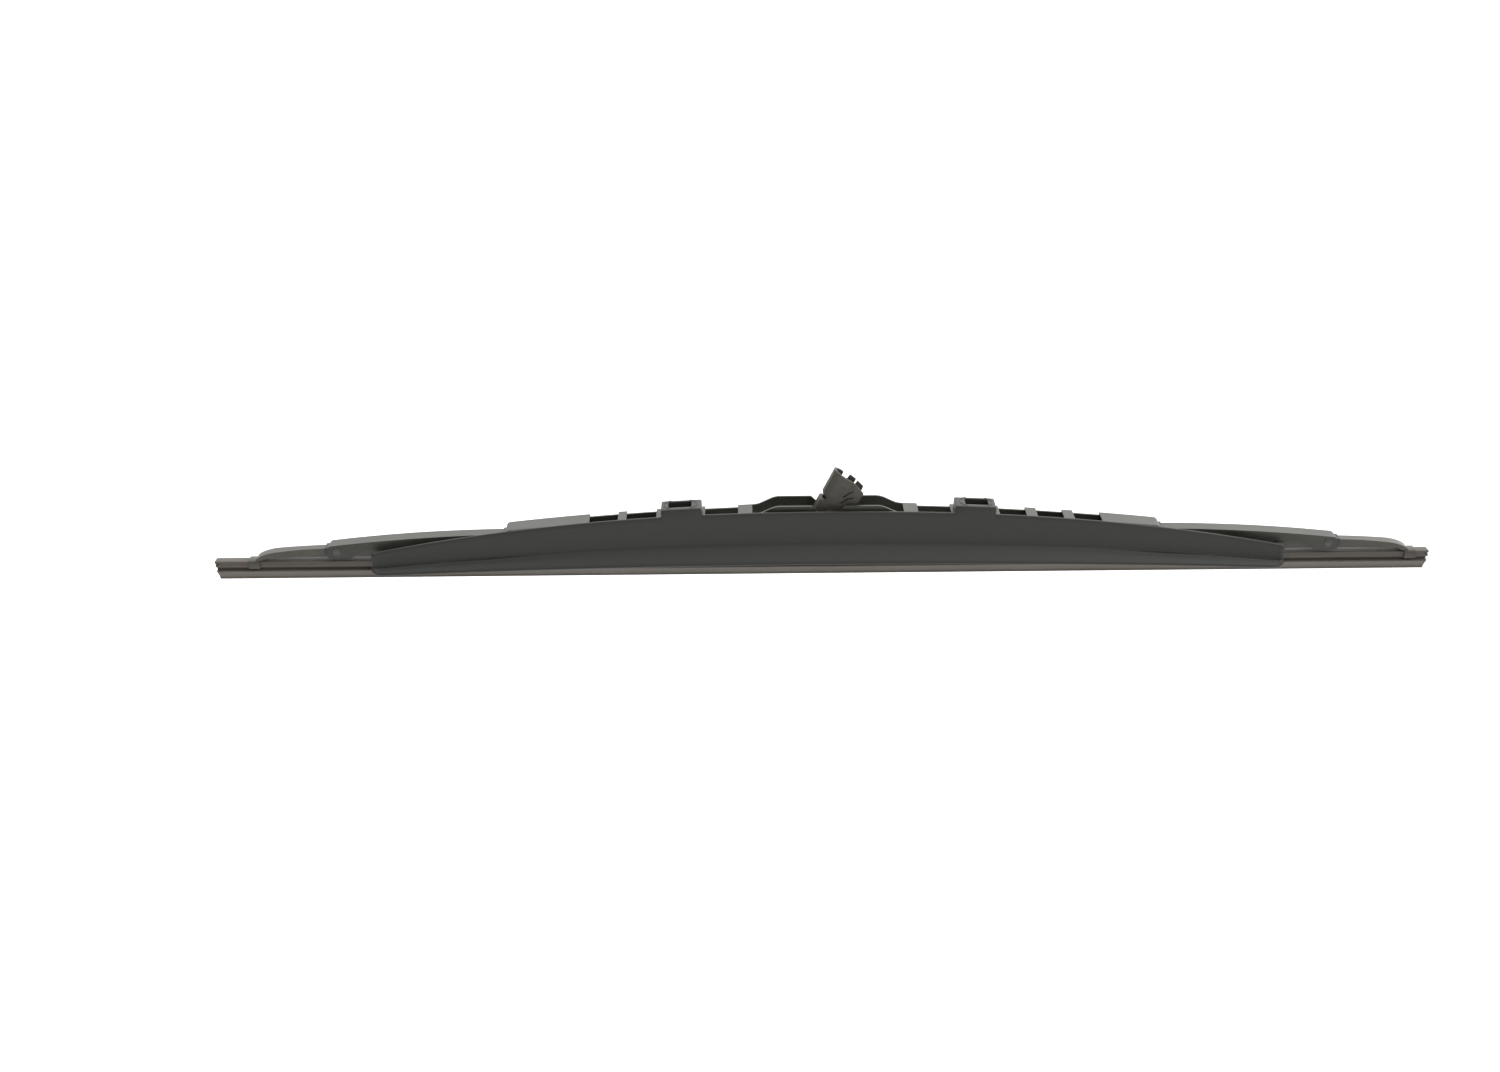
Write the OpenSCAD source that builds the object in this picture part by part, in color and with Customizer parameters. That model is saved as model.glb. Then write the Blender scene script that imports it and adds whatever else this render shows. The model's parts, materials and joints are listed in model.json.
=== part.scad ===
// Flexible beam windshield wiper blade: a tree of bent steel levers that presses
// one rubber squeegee against the glass, with a plastic spoiler and an arm adapter.
//
// X runs along the blade, Y across it with the spoiler on the -Y side, Z is up and
// away from the glass. The origin is the centre of the cross pin that the arm holds.
// Heights named *_h are measured up from the wiping lip, and z_of() turns them into Z.

/* [Blade] */
// Length of the rubber squeegee
blade_length = 600; // [590:1:610]
// Height of the cross pin's axis above the wiping lip
pin_h = 30.8; // [30:0.1:32]
// How far the middle of the lever tree lies to the +X side of the cross pin
tree_offset = 2.5; // [0:0.5:4]
// How far the squeegee is slid to the -X side of the middle of the tree
rubber_shift = 5; // [0:0.5:8]

/* [Primary lever] */
// Distance from the middle of the tree to each end of the primary lever
primary_reach = 160.8; // [160:0.1:161]
// Radius of the arch that the top web follows
arch_radius = 1470; // [1300:10:1700]
// Height of the arch's crown
arch_h = 35.4; // [35:0.1:36]
// Height of the raised walls that carry the cross pin
hump_h = 39.1; // [38:0.1:40]
// Outer width at the raised walls
hump_width = 13.5; // [13.5:0.1:14]
// Outer width at each end
primary_end_width = 10.6; // [10.6:0.1:11]
// Thickness of the primary lever's sheet
primary_sheet = 1.1; // [1:0.05:1.1]
// Radius of the cross pin
cross_pin_r = 2.5; // [2:0.1:2.7]

/* [Secondary levers] */
// Distance from the middle of the tree to each secondary pivot
secondary_x = 154; // [153.5:0.5:154.5]
// Height of the secondary pivots
secondary_pivot_h = 20.4; // [20.2:0.1:20.6]
// Height of a secondary lever's top at its pivot
secondary_top_h = 24.2; // [24:0.1:24.4]
// Outer width at the secondary pivot
secondary_width = 7.4; // [7:0.1:7.4]
// Outer width at each end
secondary_end_width = 8; // [8:0.1:8.4]
// Thickness of the secondary levers' sheet
secondary_sheet = 0.8; // [0.7:0.05:0.8]

/* [Yokes] */
// Distance from the middle of the tree to the inner yokes' pivots
inner_yoke_x = 75; // [74.5:0.5:76]
// Distance from the middle of the tree to the outer yokes' pivots
outer_yoke_x = 244; // [243:0.5:245]
// Distance from a yoke's pivot to the middle of each claw
claw_reach = 41.4; // [41:0.1:42]
// Height of the yoke pivots
yoke_pivot_h = 15.7; // [15.6:0.05:15.75]
// Length of a claw along the blade
claw_length = 5.4; // [4:0.2:6]
// Outer width across a claw
claw_width = 7.4; // [7.4:0.1:7.8]
// Thickness of the yokes' sheet
yoke_sheet = 0.7; // [0.6:0.05:0.7]

/* [Spoiler] */
// Length of the spoiler
spoiler_length = 447.5; // [440:0.5:456]
// Thickness of its shell
spoiler_wall = 1.6; // [1.4:0.1:1.7]
// Height of its top edge in the middle
spoiler_top_h = 37.1; // [36.8:0.1:37.5]
// Length of a clip's housing along the blade
clip_length = 19.8; // [19:0.1:20]

/* [Arm adapter] */
// Width of the adapter across its cheeks
adapter_width = 8.2; // [8:0.1:8.4]
// Width of the channel that the arm's hook slides into
hook_channel = 6.4; // [6:0.1:6.5]
// Length of the adapter beyond the cross pin
adapter_length = 24; // [23:0.1:25]
// Angle of the adapter above the +X direction
adapter_tilt = 63; // [0:1:65]

/* [Hidden] */
$fn = 48;

steel_black = [0.13, 0.13, 0.125];
plastic_black = [0.07, 0.07, 0.07];
plastic_grey = [0.2, 0.21, 0.21];
rail_steel = [0.35, 0.33, 0.31];
rubber_grey = [0.3, 0.29, 0.28];

// Play between a pin and the hole it turns in, and between sheet and liner
play = 0.05;
// Play between a rivet's shank and the sheet it is set in
shank_play = 0.01;
// Larger than any part, for cuts that run right through
far = 60;

primary_left = tree_offset - primary_reach;
primary_right = tree_offset + primary_reach;
primary_depth = 8.3;
secondary_out = outer_yoke_x - secondary_x;
secondary_in = secondary_x - inner_yoke_x;
end_margin = 4.7;
secondary_rivet_r = 1.5;
yoke_rivet_r = 0.9;
// Radius and thickness of the rivets' heads
secondary_rivet_head = [2.2, 0.5];
yoke_rivet_head = [2, 0.5];

// Heights and half widths in the squeegee's section
head_h = 10.3;
head_half = 2.7;
rail_low_h = 8.6;
rail_high_h = 9.25;
rail_outer = 2.65;
rail_inner = 1.4;

function z_of(h) = h - pin_h;
function smooth(t) = let (c = min(max(t, 0), 1)) c * c * (3 - 2 * c);
function mix(a, b, t) = a + (b - a) * t;
// How far an end's top corner of radius r has dropped at a gap from the end
function corner_drop(gap, r) = gap >= r ? 0 : r - sqrt(r * r - pow(r - max(gap, 0), 2));
function steps(a, b, n) = [for (i = [0:n]) mix(a, b, i / n)];
function flip(points) = [for (i = [len(points) - 1:-1:0]) points[i]];
function mirrored(points) = [for (p = flip(points)) [-p[0], p[1]]];

// A side view outline, drawn in X and Z, made solid across the whole width
module across(points) {
    rotate([90, 0, 0])
        linear_extrude(height = far, center = true)
            polygon(points);
}

// A plan view outline, drawn in X and Y, made solid over the whole height
module upright(points) {
    linear_extrude(height = 2 * far, center = true)
        polygon(points);
}

// An outline from its upper edge and its lower edge, both running towards +X
function between_edges(upper, lower) = concat(upper, flip(lower));

// A plan outline from half widths given at stations along X
function plan_of(stations) = concat(
    stations,
    [for (s = flip(stations)) [s[0], -s[1]]]
);

module pin_across(r, half) {
    rotate([90, 0, 0])
        cylinder(r = r, h = 2 * half, center = true);
}

// A rivet across the levers: a shank with a low domed head on each side
module rivet(hole_r, head_r, half, head_t) {
    r = hole_r - shank_play;
    rotate([90, 0, 0])
        rotate_extrude()
            polygon([
                [0, -half - head_t],
                [head_r * 0.55, -half - head_t],
                [head_r, -half - head_t * 0.35],
                [head_r, -half],
                [r, -half],
                [r, half],
                [head_r, half],
                [head_r, half + head_t * 0.35],
                [head_r * 0.55, half + head_t],
                [0, half + head_t]
            ]);
}

// ---------------------------------------------------------------- primary lever

function arch(x) = z_of(arch_h) - x * x / (2 * arch_radius);

// The raised walls fall to the arch in an S over this stretch
hump_flat = 24;
hump_foot = 36;
lever_corner = 2;
function primary_gap(x) = min(x - primary_left, primary_right - x);
function wall_top(x) = mix(z_of(hump_h), arch(x),
    smooth((abs(x) - hump_flat) / (hump_foot - hump_flat)))
    - corner_drop(primary_gap(x), lever_corner);

// Lower edge: flat under the pin, then parallel to the arch, then the end tabs
belly_flat_h = 22;
belly_flat = 25;
belly_rise = 20;
tab_h = 16.7;
tab_length = 14;
tab_rise = 7;
arm_narrowing = 1.2;
function arm_edge(x) = arch(x) - primary_depth + arm_narrowing * smooth((abs(x) - 60) / 80);
function belly(x) = let (
    arm = mix(z_of(belly_flat_h), arm_edge(x), smooth((abs(x) - belly_flat) / belly_rise))
) mix(z_of(tab_h), arm, smooth((primary_gap(x) - tab_length) / tab_rise));

// Stations close together round a corner at an end
corner_steps = [0, 0.1, 0.35, 0.8, 1.3];
primary_stations = concat(
    [for (d = corner_steps) primary_left + d],
    steps(primary_left + 2, primary_left + 24, 11),
    steps(primary_left + 30, -50, 9),
    steps(-46, -18, 14),
    steps(18, 46, 14),
    steps(50, primary_right - 30, 9),
    steps(primary_right - 24, primary_right - 2, 11),
    [for (d = flip(corner_steps)) primary_right - d]
);

// The cheeks step in beside the raised walls, then taper evenly to the ends
shoulder_from = 28;
shoulder_to = 45;
shoulder_half = 6.3;
function primary_half(x) = let (
    step = smooth((abs(x) - shoulder_from) / (shoulder_to - shoulder_from)),
    taper = max(0, abs(x) - shoulder_to) / (primary_reach - shoulder_to)
) mix(mix(hump_width / 2, shoulder_half, step), primary_end_width / 2, taper);

plan_stations = [
    primary_left, -140, -100, -60, -45, -41, -36, -32, -28,
    28, 32, 36, 41, 45, 60, 100, 140, primary_right
];

function primary_plan(inset) = plan_of([
    for (x = plan_stations) [x, primary_half(x) - inset]
]);

// The opening for the adapter, and the windows in the top web, as [from, to]
adapter_opening = 37;
windows = [
    [-116.8, -102.8], [-98.6, -84], [-60.1, -44],
    [44, 60.1], [84, 97.2], [102.6, 115.5], [120.8, 134.2]
];
window_dip = 1.3;

// Cheek notches over the cross pin, with slanted sides
notch_top = 8;
notch_floor = 4.8;
notch_depth = 3.2;

// The bridges between windows that carry the spoiler's clips, each with a slot
bridge_from = windows[3][1];
bridge_to = windows[4][0];
bridge_mid = (bridge_from + bridge_to) / 2;
clip_slot = [12.4, 5];

module primary_shell() {
    intersection() {
        across(between_edges(
            [for (x = primary_stations) [x, wall_top(x)]],
            [for (x = primary_stations) [x, belly(x)]]
        ));
        upright(primary_plan(0));
    }
}

module primary_hollow() {
    intersection() {
        union() {
            across(between_edges(
                [for (x = primary_stations) [x, arch(x) - primary_sheet]],
                [[primary_left, -far], [primary_right, -far]]
            ));
            translate([-adapter_opening, -far, -far])
                cube([2 * adapter_opening, 2 * far, 2 * far]);
        }
        upright(plan_of(concat(
            [[primary_left - 1, primary_half(primary_left) - primary_sheet]],
            [for (x = plan_stations) [x, primary_half(x) - primary_sheet]],
            [[primary_right + 1, primary_half(primary_right) - primary_sheet]]
        )));
    }
}

module primary_windows() {
    intersection() {
        across(between_edges(
            [[primary_left, far], [primary_right, far]],
            [for (x = primary_stations) [x, arch(x) - window_dip]]
        ));
        union()
            for (w = windows)
                translate([w[0], -far, -far])
                    cube([w[1] - w[0], 2 * far, 2 * far]);
    }
}

module primary_lever() {
    color(steel_black)
        difference() {
            primary_shell();
            primary_hollow();
            primary_windows();
            across([
                [-notch_top - 1, z_of(hump_h) + 1], [-notch_floor, z_of(hump_h) - notch_depth],
                [notch_floor, z_of(hump_h) - notch_depth], [notch_top + 1, z_of(hump_h) + 1]
            ]);
            for (s = [-1, 1])
                translate([s * bridge_mid - clip_slot[0] / 2, -clip_slot[1] / 2, 0])
                    cube([clip_slot[0], clip_slot[1], far]);
            pin_across(cross_pin_r, far);
            for (s = [-1, 1])
                translate([tree_offset + s * secondary_x, 0, z_of(secondary_pivot_h)])
                    pin_across(secondary_rivet_r, far);
        }
}

cross_pin_head = [3.2, 0.7];

module cross_pin() {
    color(steel_black)
        rivet(cross_pin_r, cross_pin_head[0], hump_width / 2 + play, cross_pin_head[1]);
}

// ------------------------------------------------------------- secondary levers

// One lever about its own pivot, with its outer arm towards +X. Its lower edge has
// a shallow bulge under the pivot and a tab round each yoke's pivot.
secondary_drop = 5.7;
secondary_span = 95;
secondary_belly_h = 17.8;
secondary_belly_drop = 1.7;
secondary_bulge = 1;
secondary_tab_h = 12.4;
secondary_tab = 10.5;
secondary_tab_rise = 9;
function secondary_gap(x) = min(x + secondary_in, secondary_out - x) + end_margin;
function secondary_web(x) = secondary_top_h - secondary_pivot_h
    - secondary_drop * pow(x / secondary_span, 2);
function secondary_top(x) = secondary_web(x) - corner_drop(secondary_gap(x), lever_corner);
function secondary_belly(x) = let (
    arm = secondary_belly_h - secondary_pivot_h - secondary_belly_drop * pow(x / 90, 2)
        - secondary_bulge * (1 - smooth((abs(x) - 5) / 6))
) mix(secondary_tab_h - secondary_pivot_h, arm,
    smooth((secondary_gap(x) - secondary_tab) / secondary_tab_rise));

secondary_stations = concat(
    [for (d = corner_steps) -secondary_in - end_margin + d],
    steps(-secondary_in - end_margin + 2, -secondary_in + 19, 11),
    steps(-secondary_in + 26, -16, 5),
    steps(-12, 12, 12),
    steps(16, secondary_out - 26, 5),
    steps(secondary_out - 19, secondary_out + end_margin - 2, 11),
    [for (d = flip(corner_steps)) secondary_out + end_margin - d]
);

function secondary_half(x) = mix(secondary_width, secondary_end_width,
    smooth((abs(x) - 12) / 50)) / 2;

function secondary_plan(inset, over) = plan_of(concat(
    [[-secondary_in - end_margin - over, secondary_end_width / 2 - inset]],
    [for (x = [-62, -50, -37, -24, -12, 12, 24, 37, 50, 62]) [x, secondary_half(x) - inset]],
    [[secondary_out + end_margin + over, secondary_end_width / 2 - inset]]
));

module secondary_shape() {
    difference() {
        intersection() {
            across(between_edges(
                [for (x = secondary_stations) [x, secondary_top(x)]],
                [for (x = secondary_stations) [x, secondary_belly(x)]]
            ));
            upright(secondary_plan(0, 0));
        }
        intersection() {
            across(between_edges(
                [for (x = concat([-secondary_span], secondary_stations, [secondary_span + 4]))
                    [x, secondary_web(x) - secondary_sheet]],
                [[-secondary_span, -far], [secondary_span + 4, -far]]
            ));
            upright(secondary_plan(secondary_sheet, 3));
        }
        pin_across(secondary_rivet_r + play, far);
        for (x = [-secondary_in, secondary_out])
            translate([x, 0, yoke_pivot_h - secondary_pivot_h])
                pin_across(yoke_rivet_r, far);
    }
}

// Puts a part drawn about the right hand secondary pivot in place on either side
module at_secondary(side) {
    translate([tree_offset + side * secondary_x, 0, z_of(secondary_pivot_h)])
        mirror([side < 0 ? 1 : 0, 0, 0])
            children();
}

// A saddle of thin plastic that keeps two levers apart, about their pivot
module saddle(inner_half, outer_half, top, thick, bottom, back, front, bore_r) {
    difference() {
        translate([-back, -outer_half, bottom])
            cube([back + front, 2 * outer_half, top + thick - bottom]);
        translate([-back - 1, -inner_half, bottom - 1])
            cube([back + front + 2, 2 * inner_half, top - bottom + 1]);
        pin_across(bore_r, far);
    }
}

liner_lip = 1.2;

module secondary_liner() {
    saddle(
        inner_half = secondary_width / 2 + play,
        outer_half = primary_end_width / 2 - primary_sheet - play,
        top = secondary_top_h - secondary_pivot_h + play,
        thick = 0.35,
        bottom = -3,
        back = 6.5,
        front = primary_reach - secondary_x + liner_lip,
        bore_r = secondary_rivet_r + play
    );
}

// ------------------------------------------------------------------------ yokes

yoke_top_h = 17;
yoke_belly_h = 12.5;
claw_top_h = 11;
claw_low_h = 6.5;
yoke_waist = 5;
yoke_flare = 6.2;
yoke_straight = 14;
yoke_bend = 30.5;
yoke_tip = 40.4;
yoke_tuck = 34.2;
yoke_hollow_end = 38.5;
yoke_fall = 2.3;

// The top edge falls in a shallow curve, then rolls down on to the claw
function yoke_roll(x) = let (t = min(max((abs(x) - yoke_bend) / (yoke_tip - yoke_bend), 0), 1))
    sqrt(1 - t * t);
function yoke_top(x) = claw_top_h - yoke_pivot_h
    + (yoke_top_h - claw_top_h - yoke_fall * pow(x / 35, 2)) * yoke_roll(x)
    + 0.2 * (1 - smooth((abs(x) - 1) / 3));
function yoke_belly(x) = mix(yoke_belly_h - 0.2 * pow(x / yoke_tuck, 2), claw_top_h - 0.2,
    smooth((abs(x) - yoke_tuck) / 4)) - yoke_pivot_h;
function yoke_half(x) = mix(yoke_waist, yoke_flare,
    smooth((abs(x) - yoke_straight) / (yoke_tuck - yoke_straight))) / 2;

// One side's stations, closer together over the pivot and where the top rolls down
yoke_side = concat([1, 2, 3, 4], steps(8, 29, 5), steps(31, 39, 8), [39.8, 40.2]);
yoke_stations = concat([for (x = flip(yoke_side)) -x], [0], yoke_side);
yoke_hollow = [for (x = yoke_stations) if (abs(x) < yoke_hollow_end) x];

module yoke_arms() {
    difference() {
        intersection() {
            across(between_edges(
                [for (x = yoke_stations) [x, yoke_top(x)]],
                [for (x = yoke_stations) [x, yoke_belly(x)]]
            ));
            upright(plan_of([for (x = yoke_stations) [x, yoke_half(x)]]));
        }
        intersection() {
            across(between_edges(
                [for (x = yoke_hollow) [x, yoke_top(x) - yoke_sheet]],
                [[-yoke_tip, -far], [yoke_tip, -far]]
            ));
            upright(plan_of([for (x = yoke_hollow) [x, yoke_half(x) - yoke_sheet]]));
        }
    }
}

// A claw wraps the squeegee's head, and its tips turn in under it, into the groove
claw_tip = 1.5;
claw_head_gap = 0.3;
module claw() {
    half = claw_width / 2;
    low = claw_low_h - yoke_pivot_h;
    top = claw_top_h - yoke_pivot_h;
    lower_thick = 0.6;
    outer = [
        [claw_tip, low], [half - 0.9, low], [half - 0.3, low + 0.25], [half, low + 0.9],
        [half, top - 1.5], [half - 0.4, top - 0.6], [half - 1.3, top]
    ];
    inner_half = head_half + claw_head_gap;
    inner = [
        [inner_half, head_h + play - yoke_pivot_h], [inner_half, low + 1.1],
        [inner_half - 0.6, low + lower_thick], [claw_tip, low + lower_thick]
    ];
    rotate([90, 0, 90])
        linear_extrude(height = claw_length, center = true)
            polygon(concat(outer, mirrored(outer), mirrored(inner), inner));
}

module yoke_shape() {
    difference() {
        union() {
            yoke_arms();
            for (s = [-1, 1])
                translate([s * claw_reach, 0, 0])
                    claw();
        }
        pin_across(yoke_rivet_r + play, far);
    }
}

module at_yoke(x) {
    translate([tree_offset + x, 0, z_of(yoke_pivot_h)])
        mirror([x < 0 ? 1 : 0, 0, 0])
            children();
}

module yoke_liner(back, front) {
    saddle(
        inner_half = yoke_waist / 2 + play,
        outer_half = secondary_end_width / 2 - secondary_sheet - play,
        top = yoke_top(0) + play,
        thick = 0.25,
        bottom = -2,
        back = back,
        front = front,
        bore_r = yoke_rivet_r + play
    );
}

// ---------------------------------------------------- squeegee and its two rails

rubber_mid = tree_offset - rubber_shift;
rail_setback = 2;

// Half of the section, from the lip up to the middle of the head
rubber_half = [
    [0.4, 0], [0.45, 1.3], [0.9, 2], [1.9, 3.6], [2.5, 4.4], [2.8, 4.9], [2.75, 5.3],
    [2.4, 5.5], [1, 5.6], [1, 7.1], [2.4, 7.2], [head_half, 7.45],
    [head_half, rail_low_h - play], [rail_inner - play, rail_low_h - play],
    [rail_inner - play, rail_high_h + play], [head_half, rail_high_h + play],
    [head_half, head_h - 0.3], [head_half - 0.3, head_h]
];

module wiper_rubber() {
    color(rubber_grey)
        translate([rubber_mid, 0, z_of(0)])
            rotate([90, 0, 90])
                linear_extrude(height = blade_length, center = true)
                    polygon(concat(rubber_half, mirrored(rubber_half)));
}

// side is -1 for the rail that faces the spoiler
module rail(side) {
    length = blade_length - 2 * rail_setback;
    low = side < 0 ? -rail_outer : rail_inner;
    color(rail_steel)
        translate([rubber_mid - length / 2, low, z_of(rail_low_h)])
            cube([length, rail_outer - rail_inner, rail_high_h - rail_low_h]);
}

module rail_front() {
    rail(-1);
}

module rail_rear() {
    rail(1);
}

// ---------------------------------------------------------------------- spoiler

spoiler_face_y = -9.4;
spoiler_crease_y = -9.6;
spoiler_crease_h = 20.6;
spoiler_foot_y = -17.5;
spoiler_foot_h = 13.1;
spoiler_fall = [20, 11, 5.3];
spoiler_tuck = 3.5;
spoiler_rim = 3;
spoiler_rim_wall = 2;
spoiler_corner = 7;

function spoiler_t2(x) = pow(2 * x / spoiler_length, 2);
function face_top(x) = z_of(spoiler_top_h) - spoiler_fall[0] * pow(spoiler_t2(x), 1.12);
function crease_z(x) = z_of(spoiler_crease_h) - spoiler_fall[1] * spoiler_t2(x);
// The flare's outer corners are rounded in plan
flare_end = 0.35;
function flare(x) = let (past = (abs(x) - spoiler_length / 2) / spoiler_corner + 1)
    past <= 0 ? 1 : mix(flare_end, 1, sqrt(1 - past * past));
function foot(x) = [
    mix(spoiler_crease_y, spoiler_foot_y + spoiler_tuck * spoiler_t2(x), flare(x)),
    mix(crease_z(x), z_of(spoiler_foot_h) - spoiler_fall[2] * spoiler_t2(x), flare(x))
];

// The front surface from top edge to foot, with a hollow bend at the crease
function face_line(x) = let (
    top = [spoiler_face_y, face_top(x)],
    crease = [spoiler_crease_y, crease_z(x)],
    low = foot(x),
    bend = mix(3, 1.5, spoiler_t2(x)),
    a = crease + 0.5 * bend * (top - crease) / norm(top - crease),
    b = crease + min(bend, norm(low - crease) * 0.6) * (low - crease) / norm(low - crease)
) concat(
    [top, mix(top, a, 0.5)],
    [for (i = [0:4]) mix(mix(a, crease, i / 4), mix(crease, b, i / 4), i / 4)],
    [low]
);

function unit(v) = v / norm(v);
function side_way(v) = [-v[1], v[0]];
// The inner surface stands one wall behind the front surface
function behind(line, t) = [
    for (i = [0:len(line) - 1])
        let (
            before = line[max(i - 1, 0)],
            after = line[min(i + 1, len(line) - 1)]
        ) line[i] + t * side_way(unit(after - before))
];

function spoiler_wall_at(x) = abs(x) > spoiler_length / 2 - spoiler_rim ?
    spoiler_rim_wall : spoiler_wall;

function spoiler_ring(x) = let (
    line = face_line(x),
    back = behind(line, spoiler_wall_at(x)),
    all = concat(line, flip(back))
) [for (p = all) [x, p[0], p[1]]];

spoiler_stations = concat(
    [for (x = [0, 0.5, 1.2, 2.2, 2.95, 3.05, 4.5, 7]) x - spoiler_length / 2],
    steps(-210, 210, 42),
    [for (x = [7, 4.5, 3.05, 2.95, 2.2, 1.2, 0.5, 0]) spoiler_length / 2 - x]
);

module swept_shell() {
    rings = [for (x = spoiler_stations) spoiler_ring(x)];
    n = len(rings[0]);
    m = len(rings);
    side_faces = [
        for (j = [0:m - 2], i = [0:n - 1])
            let (a = j * n + i, b = j * n + (i + 1) % n, c = a + n, d = b + n)
            each [[a, d, b], [a, c, d]]
    ];
    half = n / 2;
    cap = [for (i = [0:half - 2]) each [
        [i, i + 1, n - 1 - i],
        [i + 1, n - 2 - i, n - 1 - i]
    ]];
    end_cap = [for (f = cap) [for (k = [2:-1:0]) f[k] + (m - 1) * n]];
    polyhedron(
        points = [for (r = rings) each r],
        faces = concat(side_faces, cap, end_cap)
    );
}

// A clip drawn about the middle of the bridge it sits on, with z = 0 on the bridge.
// Two sprung legs go down through the bridge's slot and hook under its web.
clip_top = 5.5;
clip_back = 2.3;
clip_wall = 1.6;
clip_floor = 1.2;
clip_roof = 1;
clip_play = 0.08;
clip_shift = -0.7;
leg_thick = 1.4;
leg_half_y = 2.2;
leg_depth = 3;
barb = 0.7;
clip_window = [11.2, 6.7];
clip_front = spoiler_face_y + 0.3;

module clip_leg() {
    slot_half = clip_slot[0] / 2 - 0.2;
    rotate([90, 0, 0])
        linear_extrude(height = 2 * leg_half_y, center = true)
            polygon([
                [slot_half - leg_thick, clip_play + clip_floor], [slot_half, clip_play + clip_floor],
                [slot_half, -primary_sheet - 0.2], [slot_half + barb, -primary_sheet - 0.4],
                [slot_half, -leg_depth], [slot_half - leg_thick, -leg_depth]
            ]);
}

module clip() {
    half = clip_length / 2;
    depth = clip_back - clip_front;
    difference() {
        translate([-half + clip_shift, clip_front, clip_play])
            cube([clip_length, depth, clip_top]);
        translate([-half + clip_shift + clip_wall, clip_front + clip_wall, clip_play + clip_floor])
            cube([clip_length - 2 * clip_wall, depth - 2 * clip_wall,
                clip_top - clip_floor - clip_roof]);
        translate([-clip_window[0] / 2, spoiler_face_y + 3, clip_play + clip_floor])
            cube([clip_window[0], clip_window[1], far]);
    }
    for (s = [0, 1])
        mirror([s, 0, 0])
            clip_leg();
}

module spoiler() {
    color(plastic_grey)
        union() {
            swept_shell();
            for (s = [-1, 1])
                mirror([s < 0 ? 1 : 0, 0, 0])
                    translate([bridge_mid, 0, arch(bridge_mid)])
                        rotate([0, asin(bridge_mid / arch_radius), 0])
                            clip();
        }
}

// ------------------------------------------------------------------ arm adapter

// Drawn along +X from the cross pin, with V standing for Z, then tilted up. The end of
// the arm slides in between the cheeks, under the web, and wraps round the barrel.
hub_r = 8.5;
barrel_r = 4;
boss_r = 5;
boss_width = 10.8;
web_v = 8.5;
web_t = 1.2;
cheek_top_v = 5.3;
cheek_low_v = -9.2;
notch_from = 7.8;
notch_to = 10.8;
notch_v = 5.9;
snap_gap = 4.3;

// The edge over the hub and along the web, the same for both cheeks
function web_edge() = [
    [0, web_v], [notch_from, web_v], [notch_from + 0.7, notch_v],
    [notch_to - 1, notch_v], [notch_to, web_v], [adapter_length, web_v]
];

module near_outline() {
    end = adapter_length;
    circle(r = hub_r, $fn = 96);
    polygon(concat(web_edge(), [
        [end - 0.2, 6], [end - 1.1, 3.1], [end - 1.2, 0.4], [end - 1.4, -2.5],
        [end - 2.8, -5.6], [end - 4.1, cheek_low_v + 0.2], [end - 4.6, cheek_low_v],
        [3, cheek_low_v + 1], [0, 0]
    ]));
}

// The cheek away from the spoiler is shorter and ends in a hook and two fingers
module far_outline() {
    end = adapter_length;
    circle(r = hub_r, $fn = 96);
    polygon(concat(web_edge(), [
        [end - 0.3, 5.5], [end - 0.6, 3.7], [end - 1.2, 3.2], [end - 2.9, 3.3],
        [end - 3.4, 0.4], [end - 3.1, 0], [end - 0.7, -0.3], [end - 1.4, -3.9],
        [end - 4.3, -4.1], [end - 4.3, -4.7], [end - 1.9, -5.1], [end - 3.3, -9],
        [end - 5.4, cheek_low_v], [3, cheek_low_v + 1], [0, 0]
    ]));
}

// The spring tongue in the cheek on the spoiler's side is freed by slanted slots
module tongue_slot(a, b, width) {
    d = b - a;
    length = norm(d);
    translate(a)
        rotate(atan2(d[1], d[0])) {
            translate([0, -width / 2])
                square([length, width]);
            circle(d = width, $fn = 24);
            translate([length, 0])
                circle(d = width, $fn = 24);
        }
}

// Everything between the two flat cheeks, from their outlines
module cheek_block() {
    rotate([90, 0, 0])
        linear_extrude(height = far)
            difference() {
                near_outline();
                tongue_slot([10.3, -1.5], [13.7, -3.3], 0.9);
                tongue_slot([13.7, -3.3], [15.3, -5.2], 0.9);
                tongue_slot([13.9, -1.2], [16.9, -2.8], 0.9);
                tongue_slot([16.9, -2.8], [18.3, -4], 0.9);
            }
    rotate([-90, 0, 0])
        mirror([0, 1, 0])
            linear_extrude(height = far)
                far_outline();
}

// The section across the adapter, from its open side up to the web. A bevel is
// [how far in, how far down] at the web's outer edges.
module adapter_section(from, to, bevel) {
    half = adapter_width / 2;
    outer = [
        [half, cheek_low_v - 1], [half, web_v - bevel[1]],
        [half - bevel[0] * 0.55, web_v - bevel[1] * 0.3], [half - bevel[0], web_v]
    ];
    translate([from, 0, 0])
        rotate([90, 0, 90])
            linear_extrude(height = to - from)
                polygon(concat(outer, mirrored(outer)));
}

module adapter_channel() {
    inside = hook_channel / 2;
    top = web_v - web_t;
    inner = [
        [inside, cheek_low_v - 1], [inside, cheek_top_v - 0.9],
        [inside - 1, top - 0.5], [inside - 1.6, top]
    ];
    translate([-hub_r - 1, 0, 0])
        rotate([90, 0, 90])
            linear_extrude(height = 2 * far)
                polygon(concat(inner, mirrored(inner)));
}

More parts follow.
